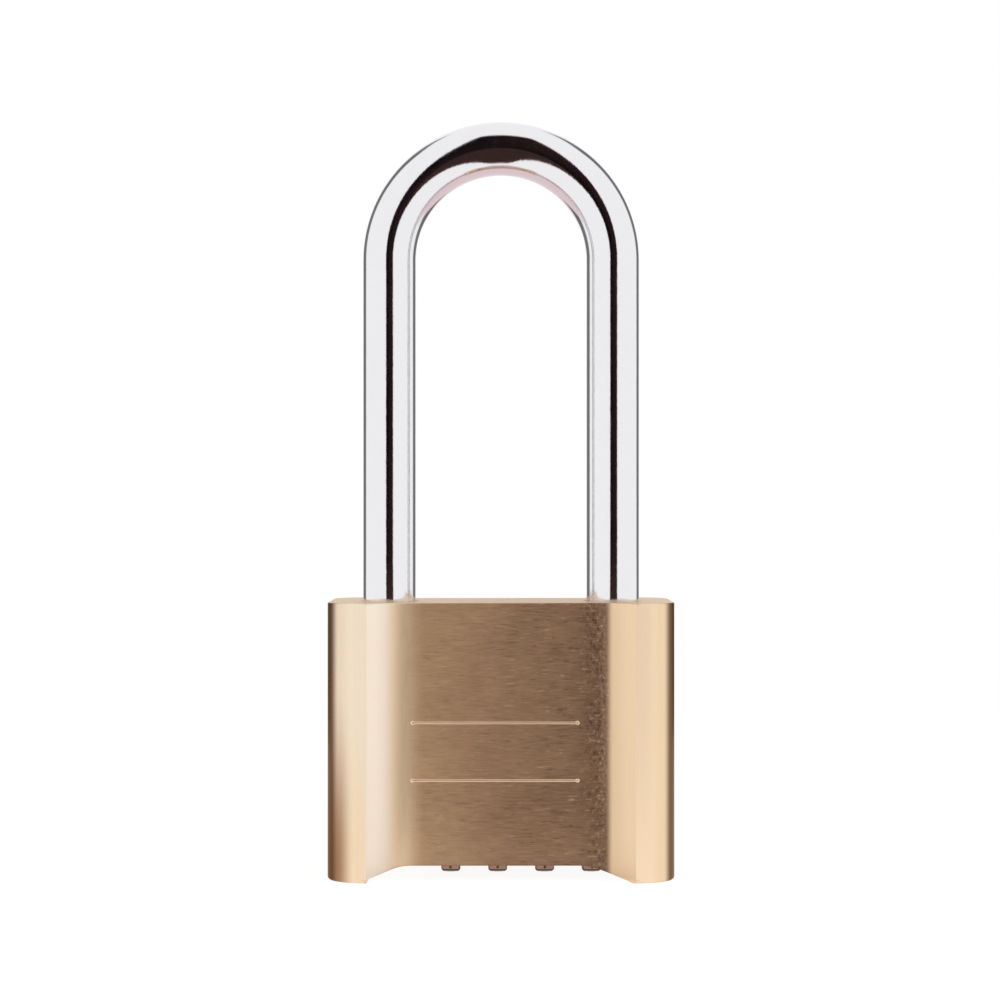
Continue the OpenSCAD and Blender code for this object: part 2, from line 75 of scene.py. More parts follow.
def merged_copy(node, name):
    """A copy of a CAD node with its doubles merged and its flat faces joined into one each."""
    shape = bmesh.new()
    shape.from_mesh(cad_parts[node].data)
    bmesh.ops.remove_doubles(shape, verts=shape.verts, dist=2e-6)
    bmesh.ops.dissolve_limit(
        shape, angle_limit=math.radians(0.3), verts=shape.verts, edges=shape.edges
    )
    mesh = bpy.data.meshes.new(name)
    shape.to_mesh(mesh)
    shape.free()
    if "custom_normal" in mesh.attributes:
        mesh.attributes.remove(mesh.attributes["custom_normal"])
    mesh.materials.clear()
    piece = bpy.data.objects.new(name, mesh)
    bpy.context.scene.collection.objects.link(piece)
    return piece


def vertex_spots(mesh):
    """The places of a mesh's vertices, as rows of x, y and z in millimetres."""
    spots = np.empty(len(mesh.vertices) * 3)
    mesh.vertices.foreach_get("co", spots)
    return spots.reshape(-1, 3) / MM


def round_edges(piece, width, chosen=None, sharp=28, segments=3):
    """Rounds a piece's sharp edges with a live Bevel. chosen takes the edges' middles (n, 3) in
    millimetres and gives each its share of the width, from 0 to 1."""
    mesh = piece.data
    mesh.polygons.foreach_set("use_smooth", np.ones(len(mesh.polygons), bool))
    mesh.set_sharp_from_angle(angle=math.radians(sharp))
    ends = np.empty(len(mesh.edges) * 2, int)
    mesh.edges.foreach_get("vertices", ends)
    middles = vertex_spots(mesh)[ends.reshape(-1, 2)].mean(axis=1)
    keen = np.zeros(len(mesh.edges), bool)
    if "sharp_edge" in mesh.attributes:
        mesh.attributes["sharp_edge"].data.foreach_get("value", keen)
    share = keen.astype(float)
    if chosen is not None:
        share *= chosen(middles)
    weight = mesh.attributes.new("bevel_weight_edge", "FLOAT", "EDGE")
    weight.data.foreach_set("value", share)
    bevel = piece.modifiers.new("broken_edges", "BEVEL")
    bevel.limit_method = "WEIGHT"
    bevel.width = width * MM
    bevel.segments = segments
    bevel.use_clamp_overlap = False
    bevel.harden_normals = True
    bevel.miter_outer = "MITER_SHARP"


def metal(name, colour, roughness, lacquer=0.0):
    """A metal finish: a new material with one Principled shader, and its node tree."""
    finish = bpy.data.materials.new(name)
    finish.use_nodes = True
    tree = finish.node_tree
    shader = tree.nodes["Principled BSDF"]
    shader.inputs["Base Color"].default_value = colour
    shader.inputs["Metallic"].default_value = 1.0
    shader.inputs["Roughness"].default_value = roughness
    shader.inputs["Coat Weight"].default_value = lacquer
    shader.inputs["Coat Roughness"].default_value = 0.18
    finish.diffuse_color = colour
    return finish, tree, shader


def join(tree, source, target):
    """Joins one socket to another."""
    tree.links.new(source, target)


def sums(tree, how, a, b=None, clamp=False):
    """A Math node. Each of a and b is a number or a socket. Returns its output."""
    node = tree.nodes.new("ShaderNodeMath")
    node.operation = how
    node.use_clamp = clamp
    for place, value in enumerate((a, b)):
        if value is None:
            continue
        if isinstance(value, (int, float)):
            node.inputs[place].default_value = value
        else:
            join(tree, value, node.inputs[place])
    return node.outputs[0]


def times(tree, first, *others):
    """The product of two or more sockets or numbers."""
    for other in others:
        first = sums(tree, "MULTIPLY", first, other)
    return first


def here(tree):
    """The Object coordinates of the point, as x, y and z sockets in metres."""
    parts = tree.nodes.new("ShaderNodeSeparateXYZ")
    join(tree, tree.nodes.new("ShaderNodeTexCoord").outputs["Object"], parts.inputs[0])
    return parts.outputs[0], parts.outputs[1], parts.outputs[2]


def grain(tree, size, detail=3.0, rough=0.55, turn=(0, 0, 0)):
    """Noise with its own grain size along x, y and z, in millimetres. Its output is 0 to 1."""
    spot = tree.nodes.new("ShaderNodeTexCoord").outputs["Object"]
    lay = tree.nodes.new("ShaderNodeMapping")
    lay.inputs["Scale"].default_value = tuple(1.0 / (s * MM) for s in size)
    lay.inputs["Rotation"].default_value = tuple(math.radians(t) for t in turn)
    noise = tree.nodes.new("ShaderNodeTexNoise")
    noise.inputs["Scale"].default_value = 1.0
    noise.inputs["Detail"].default_value = detail
    noise.inputs["Roughness"].default_value = rough
    join(tree, spot, lay.inputs[0])
    join(tree, lay.outputs[0], noise.inputs["Vector"])
    return noise.outputs["Fac"]


def between(tree, value, low, high, start=0.0, end=1.0, smooth=True):
    """Carries a value from low..high to start..end, held at both ends. It eases in and out as
    3 s^2 - 2 s^3 of the share s passed, or goes straight where smooth is False."""
    node = tree.nodes.new("ShaderNodeMapRange")
    node.interpolation_type = "SMOOTHSTEP" if smooth else "LINEAR"
    limits = {"From Min": low, "From Max": high, "To Min": start, "To Max": end}
    for place, number in limits.items():
        node.inputs[place].default_value = number
    join(tree, value, node.inputs["Value"])
    return node.outputs[0]


def along(tree, length, low, high, start=0.0, end=1.0, smooth=True):
    """Carries a length from low..high, both in millimetres, to start..end."""
    return between(tree, length, low * MM, high * MM, start, end, smooth)


def blend(tree, share, a, b, how="MIX"):
    """A colour mix. Each of a and b is a colour or a socket."""
    node = tree.nodes.new("ShaderNodeMix")
    node.data_type = "RGBA"
    node.blend_type = how
    if isinstance(share, (int, float)):
        node.inputs[0].default_value = share
    else:
        join(tree, share, node.inputs[0])
    for place, value in ((6, a), (7, b)):
        if isinstance(value, tuple):
            node.inputs[place].default_value = value
        else:
            join(tree, value, node.inputs[place])
    return node.outputs[2]


def either(tree, share, a, b):
    """The value a where share is 0, and b where it is 1. All three are sockets."""
    node = tree.nodes.new("ShaderNodeMix")
    for place, socket in ((0, share), (2, a), (3, b)):
        join(tree, socket, node.inputs[place])
    return node.outputs[0]


def grey(level):
    """A grey colour of the given level."""
    return (level, level, level, 1.0)


def relief(tree, shader, height, depth, strength):
    """Bump from a height of 0 to 1, of the given depth in millimetres."""
    bump = tree.nodes.new("ShaderNodeBump")
    bump.inputs["Strength"].default_value = strength
    bump.inputs["Distance"].default_value = depth * MM
    join(tree, height, bump.inputs["Height"])
    join(tree, bump.outputs[0], shader.inputs["Normal"])


def waist_colour(tree, x, z, in_front):
    """Brushed brass, darker than the lobes' partly as painted shade. It is darker from the heel to
    the toe by x, as painted shade, and by patches of noise; darker in front beside the toe's step,
    as painted shade; and paler with z, as painted light. A mark lies where its noise passes a
    limit: dark scratches and bright scuffs mostly near the toe, and in front, pits and flecks in a
    ragged strip beside the toe's step."""
    dashes = grain(tree, (2.2, 0.5, 0.38), 2.0, 0.6, (0, 2, 0))
    specks = grain(tree, (0.45, 0.5, 0.6), 3.0, 0.65)
    patches = sums(tree, "SUBTRACT", grain(tree, (9.0, 3.0, 4.0), 3.0, 0.6), 0.5)
    # Painted shade: darker from the heel to the toe.
    painted_shade_to_toe = along(tree, x, -13.0, 15.0, 0.05, 0.95, smooth=False)
    shade = sums(tree, "ADD", painted_shade_to_toe, times(tree, patches, 0.8), clamp=True)
    tone = blend(tree, shade, WAIST_BRASS, WAIST_SHADE)
    # Painted shade beside the toe's step, in front.
    step_painted_shade = times(tree, along(tree, x, 9.5, 15.0, 0.0, 0.42), in_front)
    tone = blend(tree, step_painted_shade, tone, STEP_SHADE)
    near_toe = along(tree, x, -4.0, 12.5, 0.35, 1.0)
    ragged_x = sums(tree, "ADD", x, times(tree, patches, 6.0 * MM))
    strip = times(tree, along(tree, ragged_x, 10.6, 14.2),
                  along(tree, x, 14.9, 15.8, 1.0, 0.0), in_front)
    for noise, none_at, all_at, most, where, colour in (
        (dashes, 0.57, 0.72, 0.55, near_toe, SCRATCH),
        (dashes, 0.38, 0.27, 0.40, near_toe, SCUFF),
        (specks, 0.54, 0.64, 0.80, strip, PIT),
        (specks, 0.42, 0.34, 0.50, strip, FLECK),
    ):
        share = times(tree, between(tree, noise, none_at, all_at, 0.0, most), where)
        tone = blend(tree, share, tone, colour)
    # Painted light: paler with z, darker towards the bottom.
    light = tree.nodes.new("ShaderNodeCombineColor")
    painted_light_by_height = along(tree, z, 3.0, 16.0, 0.96, 1.16, smooth=False)
    for place in range(3):
        join(tree, painted_light_by_height, light.inputs[place])
    return blend(tree, 1.0, tone, light.outputs[0], "MULTIPLY")


def lobe_colour(tree, x, y, z, across, in_front):
    """Brushed brass with painted light: a painted highlight on the ridge of each crest and on the
    heel's inner slope. In front, the heel's outer side has brown painted shade towards its corner
    and its foot, and a pale painted highlight higher up. The outer edges have dark painted shade,
    more on the round corners than on the flat sides."""
    long_lines = grain(tree, (0.5, 0.5, 60.0), 3.0, 0.6)
    line_share = between(tree, long_lines, 0.35, 0.7, 0.0, 0.3, smooth=False)
    tone = blend(tree, line_share, LOBE_BRASS, LOBE_LINES)
    # Painted highlight on the ridge of each crest.
    crest = times(tree, along(tree, across, 19.3, 19.7), along(tree, across, 21.6, 23.2, 1.0, 0.0))
    tone = blend(tree, crest, tone, CREST_PAINTED_HIGHLIGHT)
    # Painted highlight on the heel's inner slope.
    heel_slope_highlight = times(tree, along(tree, x, -19.7, -19.3),
                       along(tree, x, -17.2, -15.0, 1.0, 0.0), 0.9)
    tone = blend(tree, heel_slope_highlight, tone, PALE_PAINTED_HIGHLIGHT)
    # In front, a pale painted highlight high on the heel's outer side.
    heel_side = times(tree, along(tree, x, -19.8, -19.3, 1.0, 0.0), in_front)
    pale = times(tree, heel_side, along(tree, z, 4.0, 26.0, 0.0, 0.55))
    tone = blend(tree, pale, tone, PALE_PAINTED_HIGHLIGHT)
    # Brown painted shade on the heel's outer side, towards its corner and its foot.
    heel_painted_shade = times(tree, along(tree, z, 2.0, 30.0, 1.0, 0.20),
                 along(tree, x, -23.8, -21.2, 1.0, 0.04), heel_side, 0.85)
    tone = blend(tree, heel_painted_shade, tone, HEEL_PAINTED_SHADE)
    # Dark painted shade along the outer edges, more on the round corners than on the flat sides.
    edges = times(tree, along(tree, across, 23.6, 24.7),
                  along(tree, sums(tree, "ABSOLUTE", y), 6.6, 9.0, 0.38, 0.88))
    return blend(tree, edges, tone, EDGE_PAINTED_SHADE)


satin_brass, tree, shader = metal("satin_brass_brushed", LOBE_BRASS, 0.42, 0.2)
x, y, z = here(tree)
across = sums(tree, "ABSOLUTE", x)
facing = tree.nodes.new("ShaderNodeNewGeometry").outputs["True Normal"]
turned = tree.nodes.new("ShaderNodeSeparateXYZ")
join(tree, facing, turned.inputs[0])
on_end = between(tree, sums(tree, "ABSOLUTE", turned.outputs[2]), 0.7, 0.95)
on_waist = times(tree, along(tree, x, 0.5 - SLOPE_X, 4.2 - SLOPE_X),
                 along(tree, x, SLOPE_X, SLOPE_X + 1.1, 1.0, 0.0))
in_front = along(tree, y, -8.2, -6.2, 1.0, 0.0)
side_lines = grain(tree, (2.4, 0.25, 0.24), 4.0, 0.62)
upright_lines = grain(tree, (0.14, 0.14, 7.0), 4.0, 0.6)
mill_lines = grain(tree, (6.0, 0.2, 3.0), 3.0, 0.55, (0, 0, 12))
lines = either(tree, on_waist, upright_lines, side_lines)
lines = either(tree, on_end, lines, mill_lines)
tone = blend(tree, on_waist, lobe_colour(tree, x, y, z, across, in_front),
             waist_colour(tree, x, z, in_front))
tone = blend(tree, on_end, tone, MILLED_BRASS)
# The waist's brush lines darken towards the toe, more of the painted shade.
waist_lines = blend(tree, along(tree, x, -10.0, 3.0), grey(0.83), grey(0.69))
dark_lines = blend(tree, on_waist, grey(0.97), waist_lines)
line_share = between(tree, lines, 0.28, 0.72, smooth=False)
streaks = blend(tree, line_share, dark_lines, grey(1.05))
join(tree, blend(tree, 1.0, tone, streaks, "MULTIPLY"), shader.inputs["Base Color"])
satin = along(tree, across, 16.0, 18.2, 0.41, 0.28, smooth=False)
satin = sums(tree, "MAXIMUM", satin, times(tree, on_end, 0.58))
satin = sums(tree, "ADD", satin, between(tree, lines, 0.3, 0.7, 0.0, 0.09, smooth=False))
join(tree, satin, shader.inputs["Roughness"])
shader.inputs["Anisotropic"].default_value = 0.6
shader.inputs["Specular Tint"].default_value = (0.78, 0.58, 0.40, 1.0)
level = tree.nodes.new("ShaderNodeVectorMath")
level.operation = "CROSS_PRODUCT"
join(tree, facing, level.inputs[0])
level.inputs[1].default_value = (0, 0, 1)
brushing = tree.nodes.new("ShaderNodeMix")
brushing.data_type = "VECTOR"
join(tree, on_end, brushing.inputs[0])
join(tree, level.outputs[0], brushing.inputs[4])
brushing.inputs[5].default_value = (1.0, 0.2, 0.0)
join(tree, brushing.outputs[1], shader.inputs["Tangent"])
relief(tree, shader, lines, 0.014, 0.4)

case = merged_copy("case", "brass_case")


def ridge_crests(piece):
    """Drops the outer side of each crest, so that the crest is a ridge. With u the distance out
    past the crest and v the distance out past its land, in millimetres, a point moves in by
    0.25 min(u, 1) + 0.25 v - v^2 / 9.8."""
    spots = vertex_spots(piece.data)
    u = np.clip(np.abs(spots[:, 0]) - CREST_X, 0, CREST_LAND)
    v = np.clip(np.abs(spots[:, 0]) - CREST_X - CREST_LAND, 0, 1.225)
    drop = np.where(np.abs(spots[:, 1]) > 7, 0.25 * u + 0.25 * v - v**2 / 9.8, 0)
    spots[:, 1] -= np.sign(spots[:, 1]) * drop
    piece.data.vertices.foreach_set("co", (spots * MM).ravel())
    piece.data.update()


ridge_crests(case)


def case_rims(middles):
    """Edges on the outside of the block. The feet are broken most, then the slots and the plug's
    bore, and the top and the small holes least."""
    x, y, z = middles.T
    top = z > CASE_H - 0.05
    under = (z < ARCH_Z + 0.02) & (np.abs(x) < CASE_W / 2 + 0.1)
    slots = under & (np.abs(x) < SLOPE_X) & (np.abs(y) < SLOTS_Y)
    feet = under & (z < 0.02) & ~slots
    side = np.abs(x) > CASE_W / 2 - 0.03
    pin_hole = ((np.abs(np.abs(y) - WAIST_HALF_DEPTH) < 0.02)
                & (np.hypot(x - PIVOT_X, z - PIVOT_Z) < PIVOT_HOLE))
    return np.select([pin_hole, side & ~top & ~under, slots, feet, top, under],
                     [0.3, 0.35, 0.3, 1.0, 0.3, 0.4], 0.0)


round_edges(case, RIM_BREAK, case_rims)
case.data.materials.append(satin_brass)
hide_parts("case")
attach(case, "case_body")

# --- Lines on the waist --------------------------------------------------------------------
# Two fine ribs with a bead at each end, pressed up from the brass of the front waist. They
# frame a bare field. Their brass is paler than the case's all over, as a painted highlight.
RIB_X = (-13.25, 11.5)
RIB_Z = {"upper": 23.02, "lower": 14.62}
RIB_R, BEAD_R, RIB_STANDS, RIB_SUNK = 0.21, 0.34, 0.13, 0.03
RIB_Y = RIB_SUNK - WAIST_HALF_DEPTH


def half_round(x0, x1, z0, columns=72, rows=10):
    """A rib: half an ellipse carried along x, wider in a bead at each end. Its half width at a
    distance d from an end is the larger of the rib's and a circle's, sqrt(b^2 - (d - b)^2), out
    to 1.8 b. It stands out by the half width over the rib's, to the power 0.6."""
    ease = (1 - np.cos(np.linspace(0, math.pi, columns))) / 2
    d_end = (x1 - x0) / 2 * np.abs(np.abs(2 * ease - 1) - 1)
    bead = np.sqrt(np.clip(BEAD_R**2 - (d_end - BEAD_R) ** 2, 0, None))
    in_bead = np.maximum(bead, np.where(d_end > BEAD_R, RIB_R, 0))
    half = np.where(d_end < 1.8 * BEAD_R, in_bead, RIB_R)[:, None]
    angle = np.linspace(-math.pi / 2, math.pi / 2, rows)[None]
    xx = np.repeat((x0 + (x1 - x0) * ease)[:, None], rows, 1)
    yy = RIB_Y - (RIB_STANDS + RIB_SUNK) * (half / RIB_R) ** 0.6 * np.cos(angle)
    zz = z0 + half * np.sin(angle)
    return np.stack([xx, yy, zz], -1)


def sheet_faces(rows, columns, wrap_columns=False, first=0):
    """The quads of a grid of rows by columns, as indices, counted along the columns first."""
    r = np.arange(rows - 1)
    c = np.arange(columns if wrap_columns else columns - 1)
    r, c = np.meshgrid(r, c, indexing="ij")
    r2, c2 = r + 1, (c + 1) % columns
    quads = [r * columns + c, r * columns + c2, r2 * columns + c2, r2 * columns + c]
    return np.stack(quads, -1).reshape(-1, 4) + first


def make_piece(name, spots, faces, finish, body, smooth=40):
    """A mesh from spots in millimetres, with its doubles merged and its faces turned outwards."""
    mesh = bpy.data.meshes.new(name)
    mesh.from_pydata((np.asarray(spots) * MM).tolist(), [], [list(f) for f in faces])
    shape = bmesh.new()
    shape.from_mesh(mesh)
    bmesh.ops.remove_doubles(shape, verts=shape.verts, dist=1e-7)
    bmesh.ops.dissolve_degenerate(shape, edges=shape.edges, dist=1e-8)
    bmesh.ops.recalc_face_normals(shape, faces=shape.faces)
    shape.to_mesh(mesh)
    shape.free()
    mesh.polygons.foreach_set("use_smooth", np.ones(len(mesh.polygons), bool))
    mesh.set_sharp_from_angle(angle=math.radians(smooth))
    mesh.materials.append(finish)
    piece = bpy.data.objects.new(name, mesh)
    bpy.context.scene.collection.objects.link(piece)
    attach(piece, body)
    return piece


def varied(tree, shader, pattern, rough, depth, strength, tones=None):
    """Lets one pattern vary a finish: its roughness from rough[0] to rough[1], its relief of the
    given depth in millimetres, and its colour from the first of two tones to the second."""
    satin = between(tree, pattern, 0.3, 0.7, rough[0], rough[1], smooth=False)
    join(tree, satin, shader.inputs["Roughness"])
    relief(tree, shader, pattern, depth, strength)
    if tones:
        join(tree, blend(tree, pattern, tones[0], tones[1]), shader.inputs["Base Color"])


# The ribs' pale brass is a painted highlight.
rib_brass_painted_highlight, tree, shader = metal("rib_brass_painted_highlight", (1.0, 0.77, 0.54, 1.0), 0.34, 0.2)
varied(tree, shader, grain(tree, (2.0, 0.3, 0.2)), (0.30, 0.40), 0.006, 0.2)
for side, z0 in RIB_Z.items():
    front = half_round(RIB_X[0], RIB_X[1], z0)
    rows, columns = front.shape[:2]
    back = front.copy()
    back[..., 1] = RIB_Y
    spots = np.concatenate([front.reshape(-1, 3), back.reshape(-1, 3)])
    faces = [sheet_faces(rows, columns), sheet_faces(rows, columns, first=rows * columns)]
    make_piece("waist_rib_" + side, spots, np.concatenate(faces), rib_brass_painted_highlight,
               "case_body")

# --- Shackle -------------------------------------------------------------------------------
# A bent rod of hardened steel, chamfered at both ends. The heel leg has the milled flat for the
# lever's nose, the stop groove and the swivel ring. It is plated with polished chrome over the
# drawn surface, so it is very slightly rippled. Inside the bow a pinkish reflection is painted on.
ROD_R, LEG_X, BOW_Z = 3.97, 16.67, 91.3
HEEL_Z, TOE_Z, END_CHAMFER, LIP = 14.3, 27.7, 0.8, 0.04
GROOVE_HALF, GROOVE_X, GROOVE_TOP = 1.5, -19.14, 34.8
RING_Z, RING_R = (17.8, 20.8), 2.67
FLAT_TOP, FLAT_X, FLAT_Z, FLAT_LEAN = 32.1, -14.3407, 30.6475, -0.12292
CHROME = (0.845, 0.84, 0.865, 1.0)
CHROME_SPECKS = (0.78, 0.77, 0.79, 1.0)
# The pinkish colour is a painted reflection inside the bow.
CHROME_PAINTED_REFLECTION = (0.68, 0.545, 0.565, 1.0)

# Turns about the rod's own line. Each wall of the groove stands at one turn, held twice: once
# on the rod and once in the groove.
wall = math.pi - math.asin(GROOVE_HALF / ROD_R)
turns = np.linspace(-math.pi, math.pi, 113)[:-1]
turns = np.sort(np.concatenate([turns, [wall, wall, -wall, -wall]]))
in_groove = np.abs(turns) > wall + 1e-6
in_groove[np.where(np.isclose(turns, wall))[0][1]] = True
in_groove[np.where(np.isclose(turns, -wall))[0][0]] = True


def stretch(heights, radius, past_flat=0, grooved=0):
    """Rings along one stretch of a leg, a row each: its height, its radius, 1 where the flat has
    ended, and 1 where the groove is cut."""
    columns = np.broadcast_arrays(np.asarray(heights, float), radius, past_flat, grooved)
    return np.stack(columns, -1)


def heel_leg():
    """The heel leg from its foot up. At a turn t, x is r cos t out from the leg's line and y is
    r sin t. The flat caps x at FLAT_X + FLAT_LEAN (z - FLAT_Z), and the groove's floor lifts x
    to GROOVE_X."""
    rings = np.concatenate([
        stretch([HEEL_Z, HEEL_Z + LIP], [ROD_R - END_CHAMFER, ROD_R - END_CHAMFER + LIP]),
        stretch([HEEL_Z + END_CHAMFER, HEEL_Z + END_CHAMFER + 0.1], ROD_R),
        stretch(np.linspace(15.6, RING_Z[0], 5), ROD_R),
        stretch(RING_Z, RING_R, 0, 1),
        stretch(np.linspace(RING_Z[1], FLAT_TOP, 16), ROD_R, 0, 1),
        stretch([FLAT_TOP, GROOVE_TOP - 0.4, GROOVE_TOP], ROD_R, 1, 1),
        stretch([GROOVE_TOP, GROOVE_TOP + 0.3], ROD_R, 1),
        stretch(np.linspace(37, BOW_Z, 40), ROD_R, 1),
    ])
    z, radius, past_flat, grooved = rings.T[:, :, None]
    x = -LEG_X + radius * np.cos(turns)
    cap = np.where(past_flat > 0, 99.0, FLAT_X + FLAT_LEAN * (z - FLAT_Z))
    x = np.minimum(x, cap)
    x = np.where((grooved > 0) & in_groove, np.maximum(x, GROOVE_X), x)
    return np.stack([x, radius * np.sin(turns), np.broadcast_to(z, x.shape)], -1)


def bow():
    """The half circle. At a bend b and a turn t, a point is LEG_X - r cos t from the bow's
    centre, along cos b in x and sin b in z, and y is r sin t."""
    bend = np.linspace(math.pi, 0, 113)[1:-1, None]
    reach = LEG_X - ROD_R * np.cos(turns)
    x = np.cos(bend) * reach
    y = np.broadcast_to(ROD_R * np.sin(turns), x.shape)
    return np.stack([x, y, BOW_Z + np.sin(bend) * reach], -1)


def toe_leg():
    """The toe leg from the bow down: x is LEG_X - r cos t and y is r sin t."""
    rings = np.concatenate([
        stretch(np.linspace(BOW_Z, TOE_Z + 1.2, 44), ROD_R),
        stretch([TOE_Z + END_CHAMFER, TOE_Z + LIP, TOE_Z],
                [ROD_R, ROD_R - END_CHAMFER + LIP, ROD_R - END_CHAMFER]),
    ])
    z, radius = rings.T[:2, :, None]
    x = LEG_X - radius * np.cos(turns)
    return np.stack([x, radius * np.sin(turns), np.broadcast_to(z, x.shape)], -1)


rod = np.concatenate([heel_leg(), bow(), toe_leg()])
faces = sheet_faces(len(rod), len(turns), wrap_columns=True).tolist()
foot = np.arange(len(turns))
faces += [foot.tolist(), (foot + (len(rod) - 1) * len(turns)).tolist()]

polished_chrome, tree, shader = metal("polished_chrome", CHROME, 0.07)
ripple = grain(tree, (0.5, 0.5, 0.9), 2.0, 0.5)
haze = grain(tree, (2.2, 2.2, 6.0), 4.0, 0.6)
specks = grain(tree, (0.22, 0.22, 0.3), 2.0, 0.6)
relief(tree, shader, sums(tree, "ADD", ripple, times(tree, specks, 0.35)), 0.012, 0.35)
satin = between(tree, haze, 0.3, 0.75, 0.05, 0.11, smooth=False)
join(tree, satin, shader.inputs["Roughness"])
tone = blend(tree, between(tree, specks, 0.6, 0.75), CHROME, CHROME_SPECKS)
x, y, z = here(tree)
# A painted pinkish reflection on the inside of the bow, where it faces the bow's centre.
to_centre = tree.nodes.new("ShaderNodeCombineXYZ")
join(tree, times(tree, x, -1.0), to_centre.inputs[0])
join(tree, sums(tree, "SUBTRACT", BOW_Z * MM, z), to_centre.inputs[2])
unit = tree.nodes.new("ShaderNodeVectorMath")
unit.operation = "NORMALIZE"
join(tree, to_centre.outputs[0], unit.inputs[0])
inward = tree.nodes.new("ShaderNodeVectorMath")
inward.operation = "DOT_PRODUCT"
join(tree, unit.outputs[0], inward.inputs[0])
join(tree, tree.nodes.new("ShaderNodeNewGeometry").outputs["Normal"], inward.inputs[1])
painted_pink_reflection = times(tree, between(tree, inward.outputs["Value"], 0.68, 0.80),
               along(tree, z, BOW_Z + 4, BOW_Z + 8))
join(tree, blend(tree, painted_pink_reflection, tone, CHROME_PAINTED_REFLECTION), shader.inputs["Base Color"])
shackle = make_piece("chromed_shackle", rod.reshape(-1, 3), faces, polished_chrome,
                     "shackle_body", smooth=30)
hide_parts("shackle")

# --- Dials ---------------------------------------------------------------------------------
# Four brass wheels with ten finger grooves each, tumbled so that their edges are soft, with the
# ten digits filled in black on the lands. At rest the digit 0 faces down on every dial.
DIAL_X = (-7.47, -0.49, 6.49, 13.47)
DIAL_Z, DIAL_R, DIAL_BREAK = 7.8, 7.7, 0.07
# The dials' brass is darker and greyer than the case's, partly as painted shade.
DIAL_BRASS, DIAL_FILM = (0.50, 0.40, 0.32, 1.0), (0.34, 0.28, 0.25, 1.0)
# The groove colour darkens each dial deep in its grooves.
GROOVE_DARK = (0.06, 0.042, 0.036, 1.0)
DIGIT_STEP = math.radians(36)
DIGIT_H, DIGIT_W, DIGIT_STANDS, DIGIT_SUNK = 2.3, 1.75, 0.03, 0.05


def distance(tree, a, b):
    """The root of a squared plus b squared."""
    squares = sums(tree, "ADD", sums(tree, "POWER", a, 2.0), sums(tree, "POWER", b, 2.0))
    return sums(tree, "SQRT", squares)


def from_axle(tree):
    """The distance from the line that the dials turn about, in metres."""
    y, z = here(tree)[1:]
    return distance(tree, y, sums(tree, "SUBTRACT", z, DIAL_Z * MM))


dial_brass, tree, shader = metal("tumbled_dial_brass", DIAL_BRASS, 0.38)
film = grain(tree, (2.5, 2.5, 2.5), 3.0, 0.6)
# Darker deep in each groove, in patches of the film.
dark_in_grooves = times(tree, along(tree, from_axle(tree), DIAL_R - 0.16, DIAL_R - 0.02, 1.0, 0.0),
               between(tree, film, 0.3, 0.7, 0.75, 1.0, smooth=False))
tone = blend(tree, dark_in_grooves, DIAL_BRASS, GROOVE_DARK)
tone = blend(tree, between(tree, film, 0.35, 0.75, 0.0, 0.5), tone, DIAL_FILM)
join(tree, tone, shader.inputs["Base Color"])
varied(tree, shader, grain(tree, (0.35, 0.35, 0.35), 4.0, 0.6), (0.30, 0.48), 0.02, 0.4)

digit_black = bpy.data.materials.new("digit_black_fill")
digit_black.use_nodes = True
tree = digit_black.node_tree
varied(tree, tree.nodes["Principled BSDF"], grain(tree, (0.25, 0.25, 0.25), 3.0, 0.6),
       (0.42, 0.60), 0.01, 0.4, ((0.008, 0.008, 0.009, 1.0), (0.03, 0.028, 0.027, 1.0)))


def digit_round_dial(value, x0):
    """A digit wrapped round a dial: across goes along x, and up goes towards the front, by the
    angle up / radius. The digit's own turn about the axis is 36 degrees for each count."""
    words = bpy.data.curves.new("digit", "FONT")
    words.body = str(value)
    words.align_x, words.align_y = "CENTER", "CENTER"
    words.size = 1.0
    words.extrude = 0.5
    words.resolution_u = 3
    sign = bpy.data.objects.new("digit", words)
    bpy.context.scene.collection.objects.link(sign)
    drawn = sign.evaluated_get(bpy.context.evaluated_depsgraph_get())
    mesh = bpy.data.meshes.new_from_object(drawn)
    bpy.data.objects.remove(sign)
    bpy.data.curves.remove(words)
    shape = bmesh.new()
    shape.from_mesh(mesh)
    bmesh.ops.remove_doubles(shape, verts=shape.verts, dist=1e-5)
    # Nine cuts across, so that the flat digit can bend.
    for cut in np.linspace(-0.4, 0.4, 9):
        bmesh.ops.bisect_plane(shape, geom=shape.verts[:] + shape.edges[:] + shape.faces[:],
                               plane_co=(0, cut, 0), plane_no=(0, 1, 0), dist=1e-6)
    bmesh.ops.triangulate(shape, faces=shape.faces)
    shape.to_mesh(mesh)
    shape.free()
    spots = vertex_spots(mesh)
    flat = spots[:, :2]
    low, high = flat.min(0), flat.max(0)
    flat = (flat - (low + high) / 2) * (DIGIT_H / (high[1] - low[1]))
    flat[:, 0] *= min(1.0, DIGIT_W / (np.ptp(flat[:, 0]) + 1e-9))
    out = DIAL_R - DIGIT_SUNK + (DIGIT_STANDS + DIGIT_SUNK) * (spots[:, 2] > 0)
    angle = -(DIGIT_STEP * value + flat[:, 1] / DIAL_R)
    placed = np.stack([x0 + flat[:, 0], out * np.sin(angle), DIAL_Z - out * np.cos(angle)], -1)
    corners = np.empty(len(mesh.polygons) * 3, int)
    mesh.polygons.foreach_get("vertices", corners)
    bpy.data.meshes.remove(mesh)
    return placed, corners.reshape(-1, 3)


